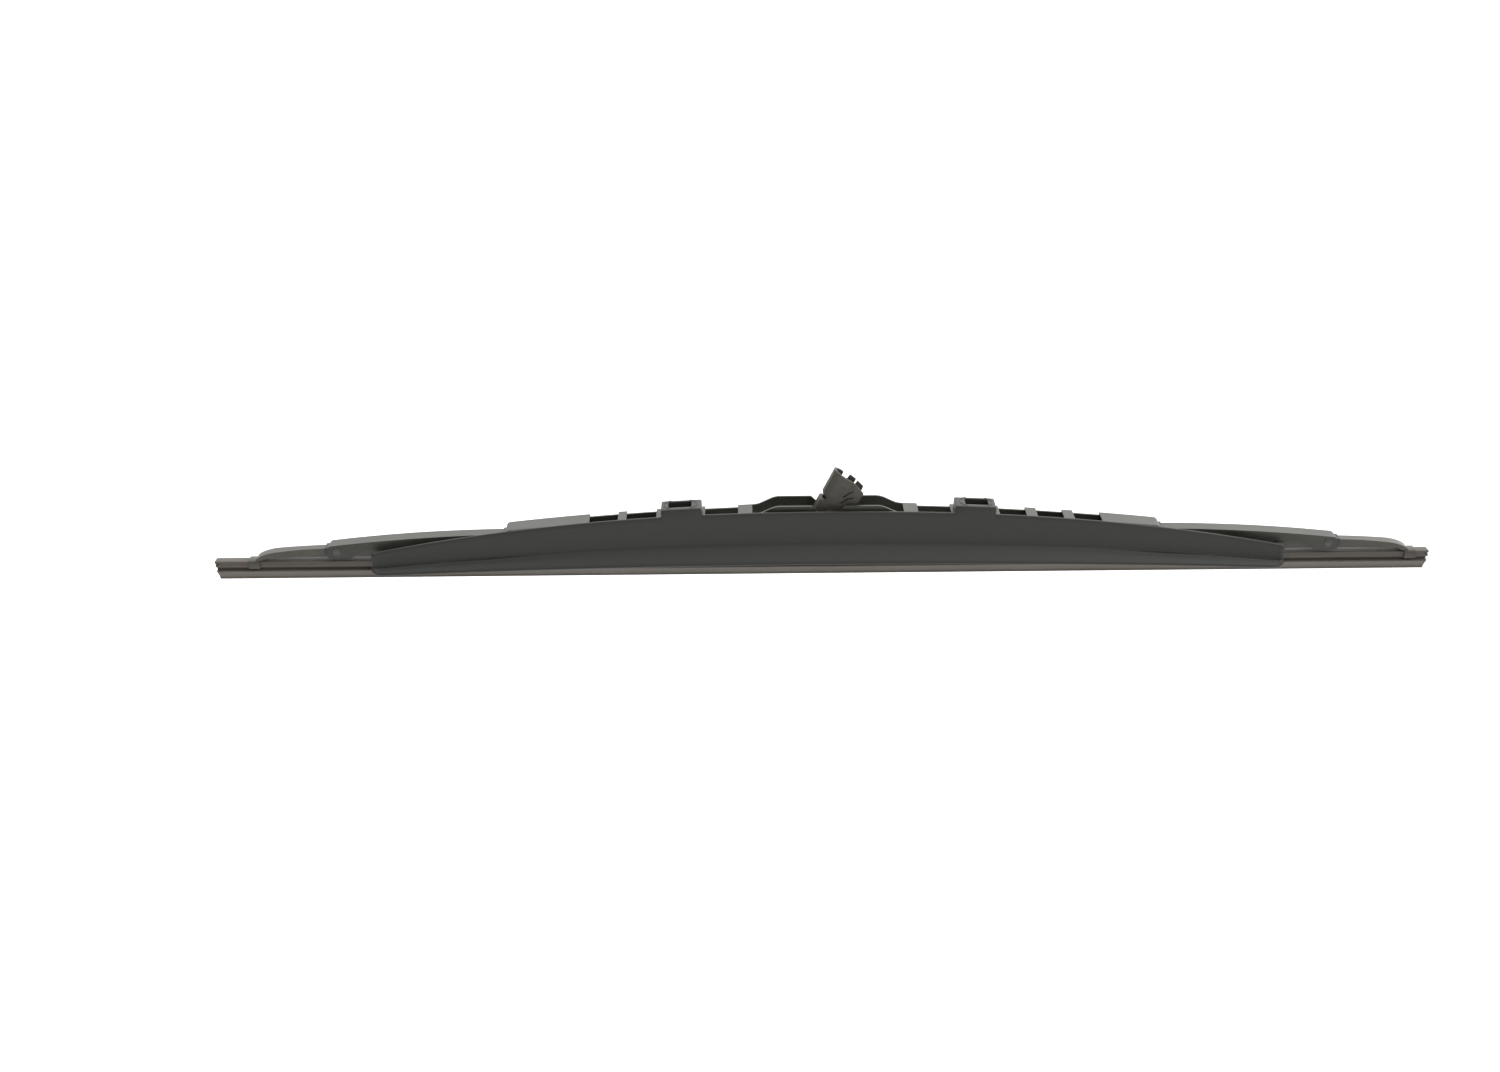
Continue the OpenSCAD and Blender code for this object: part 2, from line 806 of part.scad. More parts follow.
module adapter_shape() {
    inside = hook_channel / 2;
    difference() {
        union() {
            difference() {
                intersection() {
                    cheek_block();
                    union() {
                        adapter_section(-hub_r - 1, notch_from + 0.5, [0.8, 0.8]);
                        adapter_section(notch_from + 0.5, far, [2.1, web_v - cheek_top_v]);
                    }
                }
                adapter_channel();
            }
            // barrel that the arm's end wraps round
            pin_across(barrel_r, inside + 0.1);
            // bosses that keep the adapter centred between the lever's raised walls
            for (s = [-1, 1])
                translate([0, s * (inside + boss_width / 2) / 2, 0])
                    pin_across(boss_r, (boss_width / 2 - inside) / 2);
            // rib that ties the barrel to the cheeks
            translate([0, -inside - 0.1, -barrel_r])
                cube([6, 2 * inside + 0.2, 2.2]);
        }
        pin_across(cross_pin_r + play, far);
        // the barrel snaps onto the cross pin through this gap
        translate([-far, -far, -snap_gap / 2])
            cube([far, 2 * far, snap_gap]);
    }
}

module arm_adapter() {
    color(plastic_black)
        rotate([0, -adapter_tilt, 0])
            adapter_shape();
}

// --------------------------------------------------------------- named sub-parts

module secondary_lever_left() {
    color(steel_black) at_secondary(-1) secondary_shape();
}

module secondary_lever_right() {
    color(steel_black) at_secondary(1) secondary_shape();
}

module secondary_liner_left() {
    color(plastic_black) at_secondary(-1) secondary_liner();
}

module secondary_liner_right() {
    color(plastic_black) at_secondary(1) secondary_liner();
}

module secondary_rivet(side) {
    color(steel_black)
        at_secondary(side)
            rivet(secondary_rivet_r, secondary_rivet_head[0],
                primary_half(secondary_x) + play, secondary_rivet_head[1]);
}

module yoke(x) {
    color(steel_black) at_yoke(x) yoke_shape();
}

// The lip shows past the secondary lever's end, which is inward on an inner yoke
module yoke_saddle(x) {
    outer = abs(x) > secondary_x;
    long = end_margin + liner_lip;
    short = 4;
    color(plastic_black)
        at_yoke(x)
            yoke_liner(outer ? short : long, outer ? long : short);
}

module yoke_rivet(x) {
    color(steel_black)
        at_yoke(x)
            rivet(yoke_rivet_r, yoke_rivet_head[0],
                secondary_end_width / 2 + play, yoke_rivet_head[1]);
}

primary_lever();
cross_pin();
arm_adapter();
spoiler();
secondary_lever_left();
secondary_lever_right();
secondary_liner_left();
secondary_liner_right();
secondary_rivet(-1);  // secondary_rivet_left
secondary_rivet(1);  // secondary_rivet_right
yoke(-outer_yoke_x);  // yoke_outer_left
yoke(-inner_yoke_x);  // yoke_inner_left
yoke(inner_yoke_x);  // yoke_inner_right
yoke(outer_yoke_x);  // yoke_outer_right
yoke_saddle(-outer_yoke_x);  // yoke_liner_outer_left
yoke_saddle(-inner_yoke_x);  // yoke_liner_inner_left
yoke_saddle(inner_yoke_x);  // yoke_liner_inner_right
yoke_saddle(outer_yoke_x);  // yoke_liner_outer_right
yoke_rivet(-outer_yoke_x);  // yoke_rivet_outer_left
yoke_rivet(-inner_yoke_x);  // yoke_rivet_inner_left
yoke_rivet(inner_yoke_x);  // yoke_rivet_inner_right
yoke_rivet(outer_yoke_x);  // yoke_rivet_outer_right
rail_front();
rail_rear();
wiper_rubber();
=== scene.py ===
"""Windshield wiper blade with spoiler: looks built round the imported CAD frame.

Lengths are in metres in the row frame. The origin is the centre of the cross pin,
X runs along the blade, -Y is the spoiler's side and Z points away from the glass.
"""

import json
import math

import bmesh
import bpy
from mathutils import Matrix, Vector


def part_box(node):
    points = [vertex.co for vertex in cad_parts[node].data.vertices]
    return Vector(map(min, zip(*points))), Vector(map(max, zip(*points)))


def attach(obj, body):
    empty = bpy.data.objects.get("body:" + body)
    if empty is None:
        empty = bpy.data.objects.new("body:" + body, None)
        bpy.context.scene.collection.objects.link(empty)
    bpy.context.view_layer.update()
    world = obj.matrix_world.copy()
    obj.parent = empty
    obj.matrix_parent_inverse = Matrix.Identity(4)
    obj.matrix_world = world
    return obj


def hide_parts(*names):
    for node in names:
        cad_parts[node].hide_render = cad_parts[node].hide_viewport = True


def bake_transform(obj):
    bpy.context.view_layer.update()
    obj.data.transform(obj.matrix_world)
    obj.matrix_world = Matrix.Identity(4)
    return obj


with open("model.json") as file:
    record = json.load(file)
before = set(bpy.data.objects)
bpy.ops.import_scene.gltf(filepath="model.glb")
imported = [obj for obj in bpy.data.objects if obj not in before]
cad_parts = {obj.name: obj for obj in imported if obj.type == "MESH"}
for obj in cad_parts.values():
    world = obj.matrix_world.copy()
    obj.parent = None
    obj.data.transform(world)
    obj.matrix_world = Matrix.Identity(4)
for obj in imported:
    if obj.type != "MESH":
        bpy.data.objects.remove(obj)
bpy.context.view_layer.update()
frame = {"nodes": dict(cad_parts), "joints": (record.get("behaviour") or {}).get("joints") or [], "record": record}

MM = 0.001
LIP_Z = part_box("wiper_rubber")[0].z
BODY_OF = {n: b for b, ns in frame["record"]["behaviour"]["bodies"].items() for n in ns}


# ------------------------------------------------------------------- small helpers

def smooth(t):
    """0 before 0, 1 after 1 and an S between."""
    c = min(max(t, 0.0), 1.0)
    return c * c * (3 - 2 * c)


def mix(a, b, t):
    return a + (b - a) * t


def steps(a, b, n):
    return [mix(a, b, i / n) for i in range(n + 1)]


def joint_x(name):
    """Where along the blade a joint's pivot lies."""
    return next(j["pos_m"][0] for j in frame["joints"] if j["name"] == name)


def add_object(name, mesh, material, body=None):
    """Links a mesh as a piece with one material, and rides it on a body if one is named."""
    obj = bpy.data.objects.new(name, mesh)
    bpy.context.scene.collection.objects.link(obj)
    mesh.materials.clear()
    mesh.materials.append(material)
    if body:
        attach(obj, body)
    return obj


def finish_mesh(bm, name, sharp_deg=38):
    """A smooth shaded mesh whose edges over sharp_deg stay crisp."""
    bmesh.ops.recalc_face_normals(bm, faces=bm.faces)
    for f in bm.faces:
        f.smooth = True
    limit = math.radians(sharp_deg)
    for e in bm.edges:
        if len(e.link_faces) == 2:
            e.smooth = e.calc_face_angle(0) < limit
    mesh = bpy.data.meshes.new(name)
    bm.to_mesh(mesh)
    bm.free()
    return mesh


def weigh_normals(obj):
    """Keeps broad faces flat next to small rounded edges."""
    m = obj.modifiers.new("weighted", "WEIGHTED_NORMAL")
    m.keep_sharp = True
    m.weight = 80
    return obj


def fillet(points, radii, n=3):
    """A closed outline with its corners rounded: radii is one number or one for each."""
    out = []
    count = len(points)
    for i, p in enumerate(points):
        r = radii[i] if isinstance(radii, (list, tuple)) else radii
        a, b = Vector(points[i - 1]) - Vector(p), Vector(points[(i + 1) % count]) - Vector(p)
        if r <= 0 or a.length < 1e-9 or b.length < 1e-9:
            out.append(tuple(p))
            continue
        half = a.angle(b) / 2
        cut = min(r / max(math.tan(half), 1e-6), a.length * 0.48, b.length * 0.48)
        s, e = Vector(p) + a.normalized() * cut, Vector(p) + b.normalized() * cut
        for k in range(n + 1):
            t = k / n
            q = s * (1 - t) ** 2 + Vector(p) * 2 * t * (1 - t) + e * t ** 2
            out.append(tuple(q))
    return out


def loft(rings, closed_ends=True):
    """A bmesh skinned over rings that all have the same number of points."""
    bm = bmesh.new()
    rows = [[bm.verts.new(p) for p in ring] for ring in rings]
    n = len(rows[0])
    for a, b in zip(rows, rows[1:]):
        for i in range(n):
            j = (i + 1) % n
            bm.faces.new((a[i], a[j], b[j], b[i]))
    if closed_ends:
        bm.faces.new(rows[0])
        bm.faces.new(rows[-1])
    return bm


# ----------------------------------------------------------------------- materials

def node_material(name, colour, roughness, **inputs):
    """A Principled material: returns it with its tree, its shader and an object space."""
    mat = bpy.data.materials.new(name)
    mat.use_nodes = True
    tree = mat.node_tree
    shader = tree.nodes["Principled BSDF"]
    shader.inputs["Base Color"].default_value = (*colour, 1)
    shader.inputs["Roughness"].default_value = roughness
    for key, value in inputs.items():
        shader.inputs[key.replace("_", " ")].default_value = value
    space = tree.nodes.new("ShaderNodeTexCoord").outputs["Object"]
    return mat, tree, shader, space


def noise(tree, space, scale, detail=3.0, roughness=0.5, stretch=(1, 1, 1)):
    """A noise texture in metres of object space, stretched along the axes."""
    mapping = tree.nodes.new("ShaderNodeMapping")
    mapping.inputs["Scale"].default_value = stretch
    tree.links.new(space, mapping.inputs["Vector"])
    tex = tree.nodes.new("ShaderNodeTexNoise")
    tex.inputs["Scale"].default_value = scale
    tex.inputs["Detail"].default_value = detail
    tex.inputs["Roughness"].default_value = roughness
    tree.links.new(mapping.outputs["Vector"], tex.inputs["Vector"])
    return tex.outputs["Fac"]


def ramp(tree, fac, stops):
    """A colour ramp; stops are (position, (r, g, b))."""
    node = tree.nodes.new("ShaderNodeValToRGB")
    elements = node.color_ramp.elements
    while len(elements) < len(stops):
        elements.new(0.5)
    for e, (pos, colour) in zip(elements, stops):
        e.position = pos
        e.color = (*colour, 1)
    tree.links.new(fac, node.inputs["Fac"])
    return node.outputs["Color"]


def spread(tree, fac, low, high):
    """Maps a 0 to 1 value to the range low to high."""
    node = tree.nodes.new("ShaderNodeMapRange")
    node.inputs["From Min"].default_value = 0.25
    node.inputs["From Max"].default_value = 0.75
    node.inputs["To Min"].default_value = low
    node.inputs["To Max"].default_value = high
    tree.links.new(fac, node.inputs["Value"])
    return node.outputs["Result"]


def bump(tree, shader, height, strength, distance, under=None):
    node = tree.nodes.new("ShaderNodeBump")
    node.inputs["Strength"].default_value = strength
    node.inputs["Distance"].default_value = distance
    tree.links.new(height, node.inputs["Height"])
    if under:
        tree.links.new(under, node.inputs["Normal"])
    tree.links.new(node.outputs["Normal"], shader.inputs["Normal"])
    return node.outputs["Normal"]


def make_painted_steel(name, low, high):
    """Powder coat over stamped steel: satin, faint orange peel, dusty haze."""
    mat, tree, shader, space = node_material(
        name, low, 0.4, Specular_IOR_Level=0.3)
    patchy = noise(tree, space, 60, 4, 0.6)
    fine = noise(tree, space, 900, 2)
    colour = ramp(tree, patchy, [(0.3, low), (0.75, high)])
    tree.links.new(colour, shader.inputs["Base Color"])
    tree.links.new(spread(tree, patchy, 0.32, 0.46), shader.inputs["Roughness"])
    peel = bump(tree, shader, noise(tree, space, 420, 2), 0.1, 0.0004)
    bump(tree, shader, fine, 0.1, 0.0001, peel)
    return mat


def make_rivet_steel():
    """Headed rivets: satin black paint, faintly mottled."""
    mat, tree, shader, space = node_material(
        "rivet_head", (0.03, 0.03, 0.029), 0.38, Specular_IOR_Level=0.6)
    fac = noise(tree, space, 500, 3)
    colour = ramp(tree, fac, [(0.35, (0.02, 0.02, 0.019)), (0.75, (0.05, 0.049, 0.046))])
    tree.links.new(colour, shader.inputs["Base Color"])
    tree.links.new(spread(tree, fac, 0.3, 0.45), shader.inputs["Roughness"])
    bump(tree, shader, fac, 0.15, 0.0002)
    return mat


def make_spoiler_plastic():
    """Charcoal moulding with a fine spark-eroded grain and faint flow marks."""
    mat, tree, shader, space = node_material(
        "spoiler_moulding", (0.03, 0.031, 0.031), 0.5, Specular_IOR_Level=0.4)
    flow = noise(tree, space, 14, 4, 0.55, stretch=(0.35, 1, 1))
    colour = ramp(tree, flow, [(0.3, (0.0125, 0.0138, 0.0105)), (0.7, (0.0165, 0.018, 0.0145))])
    tree.links.new(colour, shader.inputs["Base Color"])
    tree.links.new(spread(tree, flow, 0.46, 0.56), shader.inputs["Roughness"])
    grain = bump(tree, shader, noise(tree, space, 1500, 2, 0.6), 0.35, 0.00012)
    bump(tree, shader, noise(tree, space, 260, 2), 0.08, 0.0003, grain)
    return mat


def make_adapter_plastic():
    """Semi-matt black engineering plastic with a slightly warm, rubbed look."""
    low, high = (0.047, 0.044, 0.037), (0.075, 0.071, 0.061)
    mat, tree, shader, space = node_material(
        "adapter_moulding", low, 0.6, Specular_IOR_Level=0.2)
    rub = noise(tree, space, 120, 4, 0.6)
    colour = ramp(tree, rub, [(0.3, low), (0.75, high)])
    tree.links.new(colour, shader.inputs["Base Color"])
    tree.links.new(spread(tree, rub, 0.5, 0.65), shader.inputs["Roughness"])
    bump(tree, shader, noise(tree, space, 1100, 2), 0.25, 0.0001)
    return mat


def make_liner_plastic():
    """Thin black nylon, matt and slightly mottled."""
    mat, tree, shader, space = node_material("liner_nylon", (0.008, 0.008, 0.008), 0.5)
    fac = noise(tree, space, 700, 2)
    colour = ramp(tree, fac, [(0.3, (0.006, 0.006, 0.006)), (0.8, (0.014, 0.014, 0.013))])
    tree.links.new(colour, shader.inputs["Base Color"])
    bump(tree, shader, fac, 0.2, 0.0001)
    return mat


def make_rail_steel():
    """Rolled spring strip, browned: fine lines along the blade."""
    mat, tree, shader, space = node_material(
        "rail_strip", (0.1, 0.09, 0.08), 0.5, Metallic=0.5)
    lines = noise(tree, space, 900, 2, 0.5, stretch=(0.02, 1, 1))
    colour = ramp(tree, lines, [(0.3, (0.05, 0.044, 0.037)), (0.7, (0.09, 0.08, 0.07))])
    tree.links.new(colour, shader.inputs["Base Color"])
    tree.links.new(spread(tree, lines, 0.42, 0.58), shader.inputs["Roughness"])
    bump(tree, shader, lines, 0.2, 0.0001)
    return mat


def make_rubber():
    """Extruded rubber dusted with graphite: matt, with faint draw lines."""
    mat, tree, shader, space = node_material(
        "squeegee_rubber", (0.05, 0.047, 0.043), 0.62,
        Specular_IOR_Level=0.25, Sheen_Weight=0.2, Sheen_Roughness=0.5)
    dust = noise(tree, space, 45, 5, 0.65, stretch=(0.4, 1, 1))
    lines = noise(tree, space, 1400, 2, 0.5, stretch=(0.015, 1, 1))
    colour = ramp(tree, dust, [(0.3, (0.054, 0.046, 0.036)), (0.75, (0.084, 0.073, 0.06))])
    tree.links.new(colour, shader.inputs["Base Color"])
    tree.links.new(spread(tree, dust, 0.55, 0.7), shader.inputs["Roughness"])
    bump(tree, shader, lines, 0.25, 0.00015)
    return mat


painted_steel = make_painted_steel(
    "black_powder_coat", (0.027, 0.0265, 0.0205), (0.042, 0.0415, 0.034))
yoke_paint = make_painted_steel(
    "yoke_powder_coat", (0.042, 0.0385, 0.0315), (0.063, 0.059, 0.05))
rivet_paint = make_rivet_steel()
spoiler_plastic = make_spoiler_plastic()
adapter_plastic = make_adapter_plastic()
liner_nylon = make_liner_plastic()
rail_strip = make_rail_steel()
squeegee_rubber = make_rubber()


# ------------------------------------------------------- stamped and moulded parts

def cad_bmesh(node):
    """The CAD node's faces as clean polygons, with every flat region one face."""
    bm = bmesh.new()
    bm.from_mesh(frame["nodes"][node].data)
    bmesh.ops.remove_doubles(bm, verts=bm.verts, dist=2e-6)
    bmesh.ops.dissolve_limit(
        bm, angle_limit=math.radians(0.06), verts=bm.verts, edges=bm.edges)
    return bm


def face_width(face):
    ys = [v.co.y for v in face.verts]
    return max(ys) - min(ys)


def is_bend(edge, web_min):
    """True along the fold between a lever's top web and its side wall."""
    if len(edge.link_faces) != 2 or not edge.is_convex:
        return False
    for top, wall in (edge.link_faces, reversed(edge.link_faces)):
        if top.normal.z > 0.8 and abs(wall.normal.y) > 0.9 and face_width(top) > web_min:
            return True
    return False


def soften(node, material, bend_r=0.0, edge_r=0.15 * MM, web_min=3 * MM):
    """Replaces a CAD node by the same shape with its folds and cut edges rounded."""
    bm = cad_bmesh(node)
    if bend_r:
        folds = [e for e in bm.edges if is_bend(e, web_min)]
        bmesh.ops.bevel(
            bm, geom=folds, offset=bend_r, segments=6, profile=0.5,
            affect="EDGES", clamp_overlap=True)
    crisp = [
        e for e in bm.edges
        if len(e.link_faces) == 2 and e.is_convex and e.calc_face_angle(0) > math.radians(40)
    ]
    bmesh.ops.bevel(
        bm, geom=crisp, offset=edge_r, segments=2, profile=0.5,
        affect="EDGES", clamp_overlap=True)
    mesh = finish_mesh(bm, node + "_formed")
    obj = add_object(node + "_formed", mesh, material, BODY_OF[node])
    weigh_normals(obj)
    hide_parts(node)
    return obj


def with_prefix(prefix):
    return [n for n in BODY_OF if n.startswith(prefix)]


YOKES = ("outer_left", "inner_left", "inner_right", "outer_right")
PRIMARY_BEND = 1.9 * MM
SECONDARY_BEND = 2.3 * MM
YOKE_BEND = 1.5 * MM

soften("primary_lever", painted_steel, bend_r=PRIMARY_BEND)
for n in with_prefix("secondary_lever"):
    soften(n, painted_steel, bend_r=SECONDARY_BEND)
for n in YOKES:
    soften("yoke_" + n, yoke_paint, bend_r=YOKE_BEND, web_min=2 * MM)
soften("arm_adapter", adapter_plastic, edge_r=0.22 * MM)
for n in with_prefix("secondary_liner") + with_prefix("yoke_liner"):
    soften(n, liner_nylon, edge_r=0.12 * MM)


# -------------------------------------------------------------------------- rivets

def lathe_y(name, profile, material, body, place, turns=40):
    """Turns a profile of (radius, y) points round the Y axis at place."""
    bm = bmesh.new()
    rings = []
    for r, y in profile:
        if r < 1e-9:
            rings.append([bm.verts.new((0, y, 0))])
        else:
            rings.append([
                bm.verts.new((r * math.cos(2 * math.pi * k / turns), y,
                              r * math.sin(2 * math.pi * k / turns)))
                for k in range(turns)])
    for low, high in zip(rings, rings[1:]):
        for k in range(turns):
            j = (k + 1) % turns
            ring = [
                low[k % len(low)], low[j % len(low)],
                high[j % len(high)], high[k % len(high)]]
            bm.faces.new(list(dict.fromkeys(ring)))
    bmesh.ops.translate(bm, verts=bm.verts, vec=place)
    return add_object(name, finish_mesh(bm, name, 50), material, body)


# A head's outline from its crown to its rim, as shares of its radius and thickness
GROOVE = 0.62
HEAD_OUTLINE = [
    (0, 1.0), (0.42, 1.0), (0.5, 0.92), (GROOVE - 0.06, 0.62), (GROOVE, 0.55),
    (GROOVE + 0.06, 0.62), (0.76, 0.8), (0.86, 0.72), (0.96, 0.42), (1.0, 0.2), (1.0, 0.0)]
SHANK_SHARE = 0.45


def make_rivet(node, head_t):
    """A set rivet: a shank, and on each side a low head with a ring pressed in it."""
    low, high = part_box(node)
    middle = (low + high) / 2
    head_r, half = (high.x - low.x) / 2, (high.y - low.y) / 2
    inner = half - head_t
    side = [(r * head_r, inner + t * head_t) for r, t in HEAD_OUTLINE]
    side.append((head_r * SHANK_SHARE, inner))
    profile = [(r, -y) for r, y in side] + [(r, y) for r, y in reversed(side)]
    obj = lathe_y(node + "_set", profile, rivet_paint, BODY_OF[node], middle)
    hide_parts(node)
    return obj


for n in with_prefix("secondary_rivet") + with_prefix("yoke_rivet"):
    make_rivet(n, 0.5 * MM)
make_rivet("cross_pin", 0.7 * MM)


# ----------------------------------------------------------- squeegee and its rails

PIVOT = {y: joint_x("yoke_" + y + "_pivot") for y in YOKES}
SIDE_PIVOT = {"left": joint_x("blade_flex"), "right": joint_x("secondary_right_pivot")}
TREE_MIDDLE = (PIVOT["inner_left"] + PIVOT["inner_right"]) / 2
CLAW_REACH = 41.4 * MM

# Section of the squeegee and of a rail, in millimetres of (y, height over the lip)
HEAD_H = 10.3
GROOVE_H = 5.5
RUBBER_HALF = [
    (0.4, 0), (0.45, 1.3), (0.9, 2.0), (1.9, 3.6), (2.5, 4.4), (2.8, 4.9), (2.75, 5.3),
    (2.4, 5.5), (1.0, 5.6), (1.0, 7.1), (2.4, 7.2), (2.7, 7.45),
    (2.7, 8.58), (1.38, 8.58), (1.38, 9.27), (2.7, 9.27), (2.7, 9.9), (2.3, HEAD_H)]
# Corner radius at each of those points
RUBBER_ROUND = [
    0.12, 0.6, 0.8, 1.0, 0.8, 0.3, 0.25, 0.3, 0.3, 0.3, 0.35, 0.3,
    0.05, 0.03, 0.03, 0.05, 0.3, 0.35]
RAIL_HALF = [(1.4, 8.6), (2.65, 8.6), (2.65, 9.25), (1.4, 9.25)]
LIP_SLANT = 1.3 * MM
SLANT_RUN = 12 * MM
TONGUE = 1.3 * MM
END_INSET = 0.12
RING_GAP = 4 * MM


def both_sides(points, radii):
    """The whole outline and its corner radii, from the half on the +Y side."""
    whole = points + [(-y, z) for y, z in reversed(points)]
    return fillet(whole, radii + radii[::-1], n=3)


def shrunk(outline, by):
    """An outline drawn in by roughly `by` towards its own middle line."""
    out = []
    for y, z in outline:
        side = 1 if y > 0 else -1
        out.append((side * max(abs(y) - by, 0.1), z - by if z > GROOVE_H else z + by))
    return out


def strip(
        name, outline, from_x, to_x, material, start_x, end_x, node,
        slant=0, tongue=0):
    """A bar of one section along the blade.

    slant sets the lip back from the head at the from_x end, and tongue adds a slightly smaller plug past the to_x
    end, which keeps two bars joined.
    """
    way = 1 if to_x > from_x else -1
    length = abs(to_x - from_x)
    count = max(int(length / RING_GAP), 4)
    rings = []
    for d in [0, 0.25 * MM] + steps(1.5 * MM, length, count):
        near = 1 - min(d / SLANT_RUN, 1)
        inset = END_INSET if d == 0 and not tongue else 0
        ring = []
        for y, z in (shrunk(outline, inset) if inset else outline):
            set_back = slant * near * (1 - z / HEAD_H)
            ring.append((from_x + way * (d + set_back), y * MM, LIP_Z + z * MM))
        rings.append(ring)
    if tongue:
        for d in (length, length + tongue):
            rings.append([
                (from_x + way * d, y * MM, LIP_Z + z * MM)
                for y, z in shrunk(outline, END_INSET)])
    bm = loft(rings)
    obj = add_object(name, finish_mesh(bm, name, 32), material)
    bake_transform(obj)
    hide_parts(node)
    return obj


def run_strips(name, outline, material, node, ends, slant=0):
    """Four bars in a row: outside each secondary pivot and from it to the middle."""
    for side in ("left", "right"):
        way = -1 if side == "left" else 1
        pivot = SIDE_PIVOT[side]
        strip(
            f"{name}_outer_{side}", outline, ends[side], pivot, material,
            PIVOT["outer_" + side] - way * CLAW_REACH, pivot, node, slant)
        strip(
            f"{name}_inner_{side}", outline, pivot, TREE_MIDDLE, material,
            pivot, PIVOT["inner_" + side] + way * CLAW_REACH, node,
            tongue=TONGUE)


rubber_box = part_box("wiper_rubber")
rail_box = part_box("rail_front")
run_strips(
    "squeegee", both_sides(RUBBER_HALF, RUBBER_ROUND), squeegee_rubber, "wiper_rubber",
    {"left": rubber_box[0].x, "right": rubber_box[1].x}, LIP_SLANT)
rail_ends = {"left": rail_box[0].x, "right": rail_box[1].x}
rail_section = fillet(RAIL_HALF, 0.04, n=2)
run_strips(
    "rail_front", [(-y, z) for y, z in rail_section], rail_strip, "rail_front", rail_ends)
run_strips("rail_rear", rail_section, rail_strip, "rail_rear", rail_ends)


# ------------------------------------------------------------------------- spoiler

# All in millimetres. Heights are over the lip in the middle of the blade, and each line
# falls by its FALL towards the ends.
SPOILER_HALF = 223.75
FACE_Y, CREASE_Y, FOOT_Y = -9.4, -9.6, -17.5
TOP_H, CREASE_H, FOOT_H = 37.1, 20.6, 13.1
FALL_TOP, FALL_CREASE, FALL_FOOT = 20.0, 11.0, 5.3
TOP_POWER = 1.12
FOOT_TUCK = 3.5
CORNER = 7
FLARE_END = 0.35
WALL = 1.6
# The small raised step under the crease
RIDGE = 0.62
RIDGE_AT = 0.9
# Both ends: the rim's rounding, its thinnest wall, and the bead behind it
RIM_ROUND = 0.9
RIM_WALL = 0.35
RIM_PULL = 0.7
BEAD = 0.28
BEAD_LENGTH = 2.3


def spoiler_front(x, trim):
    """The front surface's line at x, from its top edge to its foot, as (y, height).

    Both ends of the line are drawn in by trim, for the rounded edges that follow.
    """
    t2 = (x / SPOILER_HALF) ** 2
    past = (abs(x) - SPOILER_HALF) / CORNER + 1
    flare = 1
    if past > 0:
        flare = FLARE_END + (1 - FLARE_END) * math.sqrt(max(1 - past * past, 0))
    top = Vector((FACE_Y, TOP_H - FALL_TOP * t2 ** TOP_POWER))
    crease = Vector((CREASE_Y, CREASE_H - FALL_CREASE * t2))
    full_foot = Vector((FOOT_Y + FOOT_TUCK * t2, FOOT_H - FALL_FOOT * t2))
    foot = crease.lerp(full_foot, flare)
    up, down = (top - crease).normalized(), (foot - crease).normalized()
    top, foot = top - up * trim, foot - down * trim
    bend = mix(0.8, 0.9, t2)
    low_bend = min(mix(1.3, 0.6, t2), (foot - crease).length * 0.5)
    a, b = crease + up * bend, crease + down * low_bend
    line = [top.lerp(a, k / 6) for k in range(6)]
    line += [
        a.lerp(crease, k / 10).lerp(crease.lerp(b, k / 10), k / 10) for k in range(11)]
    line += [b.lerp(foot, k / 6) for k in range(1, 7)]
    # towards the ends the lower flare starts with a small raised step
    ridge = RIDGE * smooth((t2 - 0.12) / 0.5)
    out = []
    for p in line:
        d = (crease - p).length * (1 if p.y < crease.y else -1)
        spread_mm = 0.5 if d < RIDGE_AT else 1.3
        lift = ridge * math.exp(-((d - RIDGE_AT) / spread_mm) ** 2)
        out.append(p + Vector((-lift, lift * 0.35)))
    return out


def line_normal(line, i):
    way = (line[min(i + 1, len(line) - 1)] - line[max(i - 1, 0)]).normalized()
    return Vector((-way.y, way.x))


def spoiler_ring(x, wall, pull, bead):
    """A closed ring round the shell's section, with rounded top and bottom edges."""
    half = wall / 2
    line = spoiler_front(x, half + pull)
    middle = [p + line_normal(line, i) * WALL / 2 for i, p in enumerate(line)]
    way_top = (middle[0] - middle[1]).normalized()
    way_foot = (middle[-1] - middle[-2]).normalized()
    front = [
        p - line_normal(middle, i) * (half + bead) for i, p in enumerate(middle)]
    back = [p + line_normal(middle, i) * half for i, p in enumerate(middle)]
    ring = list(front)
    turn = 5
    for centre, way, a, b in (
            (middle[-1], way_foot, front[-1], back[-1]),
            (middle[0], way_top, back[0], front[0])):
        for k in range(1, turn):
            angle = math.pi * k / turn
            reach = a - centre if k * 2 <= turn else centre - b
            side = reach * math.cos(angle)
            ring.append(centre + side + way * half * math.sin(angle))
        if a is front[-1]:
            ring += back[::-1]
    return [(x * MM, p.x * MM, LIP_Z + p.y * MM) for p in ring]


